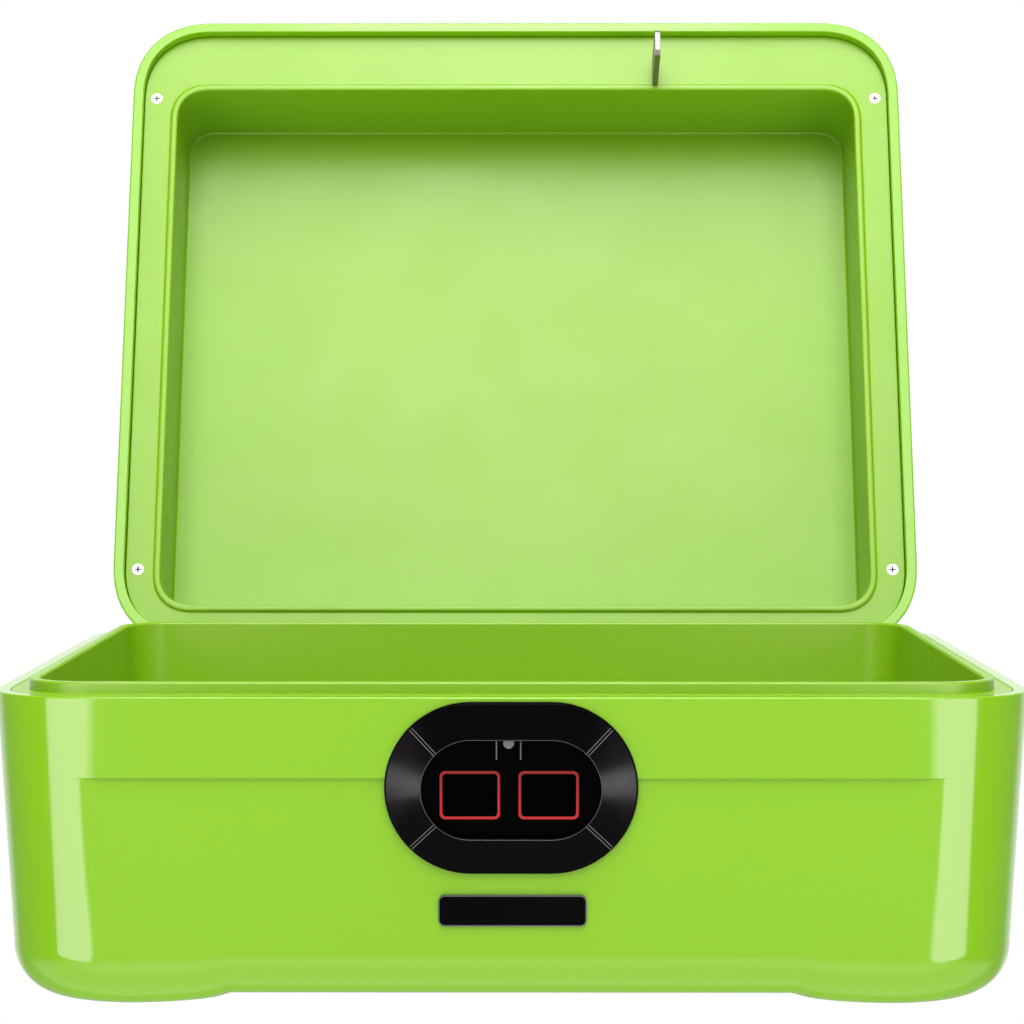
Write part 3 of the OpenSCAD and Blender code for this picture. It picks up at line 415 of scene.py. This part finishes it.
def cylinders(holes, sides=40):
    """Upright cylinders (x, y, z0, z1, r), for cutting."""
    turns = [2 * math.pi * i / sides for i in range(sides)]
    return joined(prism([(x + r * math.cos(a), y + r * math.sin(a)) for a in turns], z0, z1)
                  for x, y, z0, z1, r in holes)


def cut(obj, verts, faces, place=None):
    tool = make_mesh(obj.name + "_cutter", verts, faces, place)
    mod = obj.modifiers.new("cut", "BOOLEAN")
    mod.object, mod.operation, mod.solver = tool, "DIFFERENCE", "EXACT"
    apply_modifiers(obj)
    bpy.data.objects.remove(tool)
    smooth(obj.data)


def prism(points, z0, z1):
    """Verts and faces of an upright prism on an outline of (x, y)."""
    n = len(points)
    verts = [(x, y, z0) for x, y in points] + [(x, y, z1) for x, y in points]
    faces = [(i, (i + 1) % n, n + (i + 1) % n, n + i) for i in range(n)]
    return verts, faces + [tuple(range(n - 1, -1, -1)), tuple(range(n, 2 * n))]


def stadium(reach, r, steps=28):
    """Two half circles of radius r, their centres at +-reach, as (x, y)."""
    pts = []
    for side in (1, -1):
        for i in range(steps + 1):
            a = math.pi * (i / steps - 0.5) + (0 if side > 0 else math.pi)
            pts.append((side * reach + r * math.cos(a), r * math.sin(a)))
    return pts


def round_rect(w, h, r, steps=8):
    """A rounded rectangle round the origin, as (x, y)."""
    pts = []
    for cx, cy, a0 in ((1, -1, -90), (1, 1, 0), (-1, 1, 90), (-1, -1, 180)):
        for i in range(steps + 1):
            a = math.radians(a0 + 90 * i / steps)
            pts.append((cx * (w / 2 - r) + r * math.cos(a), cy * (h / 2 - r) + r * math.sin(a)))
    return pts


# ---------------------------------------------------------------- materials
def nodes_of(name):
    m = bpy.data.materials.new(name)
    m.use_nodes = True
    tree = m.node_tree
    return m, tree, tree.nodes["Principled BSDF"]


def noise(tree, coords, scale, detail=2.0, rough=0.5):
    n = tree.nodes.new("ShaderNodeTexNoise")
    n.inputs["Scale"].default_value = scale
    n.inputs["Detail"].default_value = detail
    n.inputs["Roughness"].default_value = rough
    tree.links.new(coords, n.inputs["Vector"])
    return n.outputs["Fac"]


def spread(tree, value, low, high, a=0.3, b=0.7):
    n = tree.nodes.new("ShaderNodeMapRange")
    for key, v in (("From Min", a), ("From Max", b), ("To Min", low), ("To Max", high)):
        n.inputs[key].default_value = v
    tree.links.new(value, n.inputs["Value"])
    return n.outputs["Result"]


def blend_colours(tree, fac, a, b):
    n = tree.nodes.new("ShaderNodeMix")
    n.data_type = "RGBA"
    n.inputs["A"].default_value = (*a, 1)
    n.inputs["B"].default_value = (*b, 1)
    tree.links.new(fac, n.inputs["Factor"])
    return n.outputs["Result"]


def bump(tree, bsdf, height, distance, before=None):
    n = tree.nodes.new("ShaderNodeBump")
    n.inputs["Distance"].default_value = distance
    n.inputs["Strength"].default_value = 1.0
    tree.links.new(height, n.inputs["Height"])
    if before:
        tree.links.new(before, n.inputs["Normal"])
    tree.links.new(n.outputs["Normal"], bsdf.inputs["Normal"])
    return n.outputs["Normal"]


def surface(name, colour, rough, metal=0.0, vary=0.04, vary_scale=25.0, rough_vary=0.03,
            peel=0.0, peel_scale=900.0, grain=0.0, grain_scale=6000.0, specular=0.5, coat=0.0,
            stretch=None):
    """A moulded, painted or metal surface: mottled colour and roughness, a soft wave and a fine grain."""
    m, tree, bsdf = nodes_of(name)
    coords = tree.nodes.new("ShaderNodeTexCoord").outputs["Object"]
    grain_coords = coords
    if stretch:
        mapping = tree.nodes.new("ShaderNodeMapping")
        mapping.inputs["Scale"].default_value = stretch
        tree.links.new(coords, mapping.inputs["Vector"])
        grain_coords = mapping.outputs["Vector"]
    low = tuple(c * (1 - vary) for c in colour)
    high = tuple(min(1, c * (1 + vary)) for c in colour)
    mottle = noise(tree, coords, vary_scale, 3)
    tree.links.new(blend_colours(tree, spread(tree, mottle, 0, 1), low, high), bsdf.inputs["Base Color"])
    smudge = noise(tree, coords, vary_scale * 3.1, 4, 0.6)
    smoothest = max(rough - rough_vary, 0.02)
    tree.links.new(spread(tree, smudge, smoothest, rough + rough_vary), bsdf.inputs["Roughness"])
    bsdf.inputs["Metallic"].default_value = metal
    bsdf.inputs["Specular IOR Level"].default_value = specular
    bsdf.inputs["Coat Weight"].default_value = coat
    bsdf.inputs["Coat Roughness"].default_value = 0.03
    normal = None
    if peel:
        normal = bump(tree, bsdf, noise(tree, coords, peel_scale, 1), peel)
    if grain:
        bump(tree, bsdf, noise(tree, grain_coords, grain_scale, 2), grain, before=normal)
    return m


LIME = (0.237, 0.532, 0.003)
LIME_INSIDE = (0.238, 0.475, 0.004)

# each by its slot in the record, but for the material of the well edge's painted highlight
MAT = {
    "green_gloss": surface("lime_gloss", LIME, 0.10, vary=0.012, vary_scale=9, rough_vary=0.02,
                           peel=0.000004, peel_scale=420, grain=0.0000012, grain_scale=3500),
    "green_satin": surface("lime_satin", LIME_INSIDE, 0.34, vary=0.02, vary_scale=12, rough_vary=0.03,
                           peel=0.000008, peel_scale=300, grain=0.00001, grain_scale=4200),
    "foot_rubber": surface("foot_rubber", (0.03, 0.03, 0.03), 0.75, vary=0.15, grain=0.00005,
                           grain_scale=2500),
    "zinc_screw": surface("zinc_screw", (0.66, 0.66, 0.64), 0.4, metal=0.7, vary=0.05, grain=0.000006,
                          grain_scale=3000),
    "black_gloss": surface("black_gloss", (0.002, 0.002, 0.0022), 0.17, vary=0.2, peel=0.000005,
                           peel_scale=700, specular=0.02),
    "black_panel": surface("black_panel", (0.0007, 0.0007, 0.0008), 0.08, vary=0.2, specular=0.012),
    "dark_glass": surface("dark_glass", (0.0003, 0.0003, 0.0004), 0.05, vary=0.2, specular=0.008),
    "lamp_lens": surface("lamp_lens", (0.21, 0.21, 0.215), 0.35, vary=0.1, specular=0.3),
    "silver_trim": surface("silver_trim", (0.1, 0.1, 0.104), 0.42, metal=0.3, vary=0.05),
    # painted highlight: a grey lighter than black_gloss, for the thin line that stands in for the light on
    # the well's edge
    "well_edge_highlight": surface("well_edge_highlight", (0.02, 0.02, 0.021), 0.42, vary=0.05),
    "black_plastic": surface("black_plastic", (0.014, 0.014, 0.015), 0.45, vary=0.15, grain=0.00002),
    "board_green": surface("board_green", (0.01, 0.10, 0.035), 0.3, vary=0.1, vary_scale=90, coat=0.4),
    "dark_steel": surface("dark_steel", (0.028, 0.029, 0.031), 0.36, metal=0.2, vary=0.15, grain=0.00003,
                          grain_scale=2600),
    "bright_steel": surface("bright_steel", (0.3, 0.275, 0.27), 0.5, metal=1, vary=0.06, grain=0.00001,
                            grain_scale=900, stretch=(1, 1, 12)),
    "motor_steel": surface("motor_steel", (0.5, 0.5, 0.5), 0.3, metal=1, vary=0.08, grain=0.00001),
    "brass": surface("brass", (0.72, 0.5, 0.18), 0.28, metal=1, vary=0.08, grain=0.00001),
    "cell_wrap": surface("cell_wrap", (0.42, 0.14, 0.015), 0.25, vary=0.06, coat=0.5),
    "contact_nickel": surface("contact_nickel", (0.62, 0.6, 0.55), 0.24, metal=1, vary=0.06, grain=0.00001),
    "reed_glass": surface("reed_glass", (0.5, 0.6, 0.58), 0.08, vary=0.05, coat=1),
    "magnet": surface("magnet", (0.55, 0.55, 0.56), 0.2, metal=1, vary=0.05, grain=0.00001),
}


def red_light():
    """Light guide: dim at the top, bright along the lower edge."""
    m, tree, bsdf = nodes_of("red_light")
    coords = tree.nodes.new("ShaderNodeTexCoord").outputs["Object"]
    split = tree.nodes.new("ShaderNodeSeparateXYZ")
    tree.links.new(coords, split.inputs["Vector"])
    lo, hi = (v.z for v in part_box("glow_frame_1"))
    fall = spread(tree, split.outputs["Z"], 1, 0, lo, hi)
    colour = blend_colours(tree, fall, (0.24, 0.022, 0.02), (0.52, 0.028, 0.03))
    tree.links.new(colour, bsdf.inputs["Emission Color"])
    bsdf.inputs["Emission Strength"].default_value = 1.0
    speck = noise(tree, coords, 500, 3)
    tree.links.new(blend_colours(tree, speck, (0.05, 0.004, 0.004), (0.09, 0.006, 0.006)),
                   bsdf.inputs["Base Color"])
    bsdf.inputs["Roughness"].default_value = 0.35
    bsdf.inputs["Specular IOR Level"].default_value = 0.1
    return m


MAT["red_light"] = red_light()


# ---------------------------------------------------------------- base
FOOT_X, FOOT_Y, FOOT_RAMP = 80.0, 60.0, 29.0
# marks along the base's sides, close together where the feet begin
BASE_X = [16, 32, 48, 62, 72, 78, 79.6, 80.4, 81.4, 82.8, 84.8, 87.5, 91, 95.5, 101, 106, 109, 111]
BASE_Y = [15, 30, 45, 55, 59.6, 60.4, 61.4, 62.8, 64.8, 67.5, 71, 75]


def ramp(d):
    """A quarter of an ellipse: how much of the foot's height there is at d past its start."""
    u = min(max(d / FOOT_RAMP, 0), 1)
    return math.sqrt(1 - (1 - u) ** 2)


def lower_foot(x, y, z):
    """The four feet: the underside and the bottom radius go down towards each corner."""
    reach = UNDER + EDGE_R + 6
    w = min(max((reach - z) / (reach - UNDER), 0), 1)
    return z - FOOT_H * w * ramp(abs(x) - FOOT_X) * ramp(abs(y) - FOOT_Y)


def step_depth(z):
    """How far the front stands back at a height: nothing above the style step, fading out low down."""
    low = UNDER + EDGE_R + 2
    full = STEP_D * min(max((z - low) / (STEP_Z - low), 0), 1)
    return full * min(max((STEP_Z + STEP_TOP - z) / STEP_TALL, 0), 1)


def shape_base(x, y, z):
    """Moves a point of the plain base to shape the step across its front and the feet."""
    d = step_depth(z)
    if d > 0.001 and y < 0:
        u = min(max((STEP_END - abs(x)) / STEP_FADE, 0), 1)
        y += d * u * u * (3 - 2 * u)
    return x, y, lower_foot(x, y, z)


def base_shell():
    edge = round_edge(UNDER, EDGE_R, RIM - UNDER)
    under = [(*(v * s for v in edge[0][:3]), UNDER, 0.0, 0.0)
             for s in (0.32, 0.42, 0.5, 0.58, 0.66, 0.72, 0.78, 0.83, 0.88, 0.92, 0.96, 0.985)]
    # heights of the wall's rings, close together at the step's ledge
    heights = [22, 28, 34, 40, 46, 52, 57, 60.5, 62.5]
    heights += [STEP_Z + h for h in (-1.2, -0.3, 0, 0.045, 0.05, 0.1, 0.15, 0.155, 0.2, 0.5)]
    heights += [67.5, 71, 76, 81, 85]
    wall = [rim_ring(taper(RIM - z), z) for z in heights]
    rim = [rim_ring(0, RIM, 0, 0.55), rim_ring(0, RIM, BAND, 0.4), rim_ring(0, RIM - 6, BAND),
           rim_ring(taper(7), RIM - 7, WALL + STEP_D)]
    inner = round_edge(UNDER + WALL, EDGE_R - WALL, RIM - UNDER - WALL, WALL + STEP_D, steps=6)[::-1]
    inner += close(inner[-1], (2, 20, 60))
    verts, faces = loft(soften(under + edge + wall + rim + inner), BASE_X, BASE_Y, move=shape_base)
    return make_mesh("base_moulding", verts, faces)


def quarters(at, *rest):
    """(x, y, *rest) for a place in each of the four quarters."""
    return [(sx * at[0], sy * at[1], *rest) for sx in (-1, 1) for sy in (-1, 1)]


piece = base_shell()
anchors = quarters(ANCHOR_AT, -5, 30, ANCHOR_R)
tub_screws = quarters(TUB_SCREW_AT, -5, UNDER + 2, TUB_SCREW_R)
pads = quarters(PAD_AT, -5, 1.5, PAD_R)
cut(piece, *cylinders(hole for corner in zip(anchors, tub_screws, pads) for hole in corner))
cut(piece, *prism(stadium(REACH, BEZEL_HOLE_R), -8, 8), ON_FRONT)
stand_for("base_shell", weighted(piece))


def base_liner():
    z0 = TUB_FLOOR - LINER_T
    back = LIP_IN - LINER_T
    start = rim_ring(taper(RIM - z0) + 8, z0, back)
    rings = [
        *close(start, (60, 20, 2)),
        start,
        rim_ring(taper(RIM - z0) + 2.4, z0 + 2.4, back),
        rim_ring(taper(RIM - z0 - 8), z0 + 8, back),
        rim_ring(taper(2.5), RIM - 2.5, back),
        rim_ring(0, RIM - 2.5, BAND + SEAM),
        rim_ring(0, RIM - 0.02, BAND + SEAM, 0.4),
        rim_ring(0, RIM - 0.02, LEDGE, 0.08),
        rim_ring(0, RIM + LIP_H, LEDGE, 0.7),
        rim_ring(0, RIM + LIP_H, LIP_IN, 0.8),
        rim_ring(taper(RIM - 45), 45, LIP_IN),
        rim_ring(taper(RIM - TUB_FLOOR), TUB_FLOOR, LIP_IN, 6.5),
        rim_ring(taper(RIM - TUB_FLOOR) + 14, TUB_FLOOR, LIP_IN),
    ]
    rings += close(rings[-1], (20, 60))
    return make_mesh("tub_moulding", *loft(soften(rings, 6)))


piece = base_liner()
cut(piece, *cylinders(quarters(ANCHOR_AT, 5, 30, ANCHOR_R)))
stand_for("base_liner", weighted(piece))


# ---------------------------------------------------------------- lid, drawn closed and swung open
def lid_z(rings):
    """Lid rings are drawn by their height above the lid's rim."""
    return [(r[0], r[1], r[2], LID_RIM + r[3], *r[4:]) for r in rings]


def lid_shell():
    edge = round_edge(LID_H, EDGE_R, LID_H, up=-1)
    top = close(edge[0], (60, 25, 3))
    wall = [rim_ring(taper(h), h) for h in (28, 22, 16, 10, 5, 2)]
    rim = [rim_ring(0, 0, 0, 0.7), rim_ring(0, 0, BAND, 0.45), rim_ring(0, 6.4, BAND),
           rim_ring(taper(6.4), 6.4, WALL)]
    inner = round_edge(LID_H - WALL, EDGE_R - WALL, LID_H - WALL, WALL, steps=6, up=-1)[::-1]
    inner += close(inner[-1], (3, 30, 60))
    verts, faces = loft(soften(lid_z(top + edge + wall + rim + inner), 5))
    return make_mesh("lid_moulding", verts, faces, OPEN)


def lid_liner():
    floor = FLANGE + POCKET
    back = FLANGE + TRAY_T
    start = pocket_ring(5, floor + TRAY_T, TRAY_T)
    rings = [
        *close(start, (50, 3)),
        start,
        pocket_ring(1.6, floor + 1.2, TRAY_T),
        pocket_ring(0.6, floor - 1, TRAY_T),
        pocket_ring(0, back, TRAY_T),
        rim_ring(0, back, BAND + SEAM),
        rim_ring(0, FLANGE, BAND + SEAM, 0.3),
        pocket_ring(0, FLANGE, 2.6, 0.5),
        pocket_ring(0, FLANGE - 1, 2.3, 0.7),
        pocket_ring(0, FLANGE - 1, 0.0, 0.8),
        pocket_ring(0.25, FLANGE + 14),
        pocket_ring(0.6, floor, 0.0, 0.9),
        pocket_ring(9, floor),
    ]
    rings += close(rings[-1], (20, 50))
    return make_mesh("lid_tray", *loft(soften(lid_z(rings), 6)), OPEN)


stand_for("lid_shell", weighted(lid_shell()))
piece = lid_liner()
sinks = cylinders((x, y, LID_RIM, LID_RIM + FLANGE + 0.9, LID_SINK_R) for x, y in LID_SCREWS)
cut(piece, *sinks, OPEN)
stand_for("lid_liner", weighted(piece))


def painted_cross_shade():
    """Painted shade: dark inserts at the bottoms of the cross recesses in the lid's screws, where the
    recesses' shadow falls.
    """
    low, high = LID_RIM + FLANGE + 0.15, LID_RIM + FLANGE + 0.6
    bars = [round_rect(w, h, 0.1, 2) for w, h in ((2.4, 0.5), (0.5, 2.4))]
    parts = [prism([(x + a, y + b) for a, b in bar], low, high) for x, y in LID_SCREWS for bar in bars]
    return make_mesh("painted_cross_shade", *joined(parts), OPEN)


# painted shade: dark steel put in the screws' cross recesses where their shadow falls
add_detail(painted_cross_shade(), "lid", "dark_steel")


# ---------------------------------------------------------------- small CAD parts, with their edges broken
def refine(node, width):
    """A copy of a CAD node whose edges over 35 degrees are rounded to this width, in its place."""
    source = frame["nodes"][node]
    obj = bpy.data.objects.new(node + "_detailed", source.data.copy())
    bpy.context.collection.objects.link(obj)
    bm = bmesh.new()
    bm.from_mesh(obj.data)
    bmesh.ops.remove_doubles(bm, verts=bm.verts, dist=2e-6)
    bmesh.ops.dissolve_limit(bm, angle_limit=math.radians(1), verts=bm.verts, edges=bm.edges)
    bm.to_mesh(obj.data)
    bm.free()
    mod = obj.modifiers.new("edges", "BEVEL")
    mod.width, mod.segments = width * MM, 2
    mod.limit_method, mod.angle_limit = "ANGLE", math.radians(35)
    mod.use_clamp_overlap = True
    apply_modifiers(obj)
    smooth(obj.data)
    stand_for(node, weighted(obj))


BROKEN_EDGES = {
    "lock_housing": 0.6, "battery_door": 0.35, "strike_hook": 0.25, "hook_screws": 0.12, "lid_screws": 0.1,
    "tub_screws": 0.12, "housing_screws": 0.12, "frame_screws": 0.12, "motor_screws": 0.1,
    "hinge_base_1": 0.3, "hinge_base_2": 0.3, "hinge_lid_1": 0.3, "hinge_lid_2": 0.3,
    "hinge_pin_1": 0.3, "hinge_pin_2": 0.3, "base_rivets": 0.2, "lid_rivets": 0.2,
    "foot_pad_1": 0.3, "foot_pad_2": 0.3, "foot_pad_3": 0.3, "foot_pad_4": 0.3,
    "bolt": 0.12, "lock_frame": 0.2, "battery_tray": 0.2, "buzzer": 0.2,
    "battery_1": 0.4, "battery_2": 0.4, "battery_3": 0.4, "battery_4": 0.4,
    "status_led": 0.3, "status_bars": 0.08, "lid_magnet": 0.2, "gear_motor": 0.3,
}
for node_name, width in BROKEN_EDGES.items():
    refine(node_name, width)


# ---------------------------------------------------------------- bezel
def swept_ring(profile):
    """A stadium-shaped ring: profile is a closed list of (radius, height)."""
    return ring_grid([[(x, y, z) for x, y in stadium(REACH, r, 36)] for r, z in profile])


def ring_height(r):
    """The height of the ring's cone, which falls outwards."""
    return RING_IN + (RING_OUT - RING_IN) * (r - WELL_R) / (RING_R - WELL_R)


ring_profile = [(RING_R, RING_SEAT), (RING_R, 1.02), (23.43, 1.16), (23.25, ring_height(23.25)),
                (18.5, ring_height(18.5)), (14.0, ring_height(14.0)), (13.78, 3.9), (13.62, 3.84),
                (WELL_R, 3.68), (WELL_R, RING_SEAT)]
piece = make_mesh("bezel_ring_detailed", *swept_ring(ring_profile), ON_FRONT)
stand_for("bezel_ring", weighted(piece))
add_bezel_lights(piece)
turns = [math.pi / 8 * i for i in range(5)]
outer_edge = [(23.5 + 0.3 * math.cos(a), 0.5 + 0.3 * math.sin(a)) for a in turns]
base_profile = [(23.8, 0.05), *outer_edge, (13.6, 0.8), (13.6, 0.2), (12.6, 0.2), (12.6, -6), (19.5, -6),
                (19.5, 0.05)]
piece = make_mesh("bezel_base_detailed", *swept_ring(base_profile), ON_FRONT)
stand_for("bezel_base", weighted(piece))


def slit_lines():
    """Pairs of fine raised lines across the ring, four in all."""
    bars = []
    box = [(0, 1, 3, 2), (4, 6, 7, 5), (0, 4, 5, 1), (2, 3, 7, 6), (1, 5, 7, 3), (0, 2, 6, 4)]
    for sx, sy in ((-1, -1), (-1, 1), (1, -1), (1, 1)):
        a = math.pi / 4 * sy if sx > 0 else math.pi - math.pi / 4 * sy
        along = Vector((math.cos(a), math.sin(a), 0))
        across = Vector((-along.y, along.x, 0))
        for off in (-0.42, 0.42):
            corners = [Vector((sx * REACH, 0, ring_height(r) + top)) + along * r + across * (off + w)
                       for r in (13.8, 23.3) for w in (-0.1, 0.1) for top in (-0.25, 0.05)]
            bars.append((corners, box))
    return make_mesh("bezel_slit_lines", *joined(bars), ON_FRONT)


# painted highlight: a thin raised ring of lighter grey on the well's edge, standing in for the light its edge
# catches
line = [(WELL_R + 0.12, 3.86), (WELL_R + 0.22, 3.98), (WELL_R + 0.34, 3.93), (WELL_R + 0.24, 3.8)]
add_detail(make_mesh("bezel_well_highlight", *swept_ring(line), ON_FRONT), "base", "well_edge_highlight")
add_detail(slit_lines(), "base", "silver_trim")
for node_name in ("finger_window_1", "finger_window_2", "glow_frame_1", "glow_frame_2", "sensor_panel"):
    refine(node_name, 0.08)


# ---------------------------------------------------------------- nameplate, left blank
def plate_outline(inset):
    return round_rect(PLATE_W - 2 * inset, PLATE_H - 2 * inset, PLATE_R - inset)


border = ((0, -0.25), (0, 0.66), (0.08, 0.82), (0.3, 0.82), (0.38, 0.72), (0.38, -0.25))
loops = [[(x, y, z) for x, y in plate_outline(inset)] for inset, z in border]
stand_for("nameplate_trim", make_mesh("nameplate_border", *ring_grid(loops), PLATE))
face = prism(plate_outline(PLATE_BORDER), -0.25, 0.62)
stand_for("nameplate", make_mesh("nameplate_face", *face, PLATE))


# ---------------------------------------------------------------- every CAD part still shown
for node_name, obj in frame["nodes"].items():
    if not obj.hide_render:
        dress(obj, SLOT_OF[node_name])


# ---------------------------------------------------------------- floor
ROOM = 9000.0
FLOOR_Z = -0.2


def add_floor():
    """A plain white floor in a white room that only the camera sees: the studio itself lights the object."""
    m, tree, bsdf = nodes_of("studio_floor")
    bsdf.inputs["Base Color"].default_value = (0, 0, 0, 1)
    bsdf.inputs["Specular IOR Level"].default_value = 0.0
    bsdf.inputs["Emission Color"].default_value = (1, 1, 1, 1)
    bsdf.inputs["Emission Strength"].default_value = 1.0
    ground = [(-ROOM, -ROOM), (ROOM, -ROOM), (ROOM, ROOM), (-ROOM, ROOM)]
    floor = make_mesh("studio_floor", *prism(ground, FLOOR_Z, ROOM))
    floor.data.materials.append(m)
    floor.visible_diffuse = floor.visible_glossy = floor.visible_shadow = False


add_floor()
bpy.context.scene.view_settings.view_transform = "Standard"
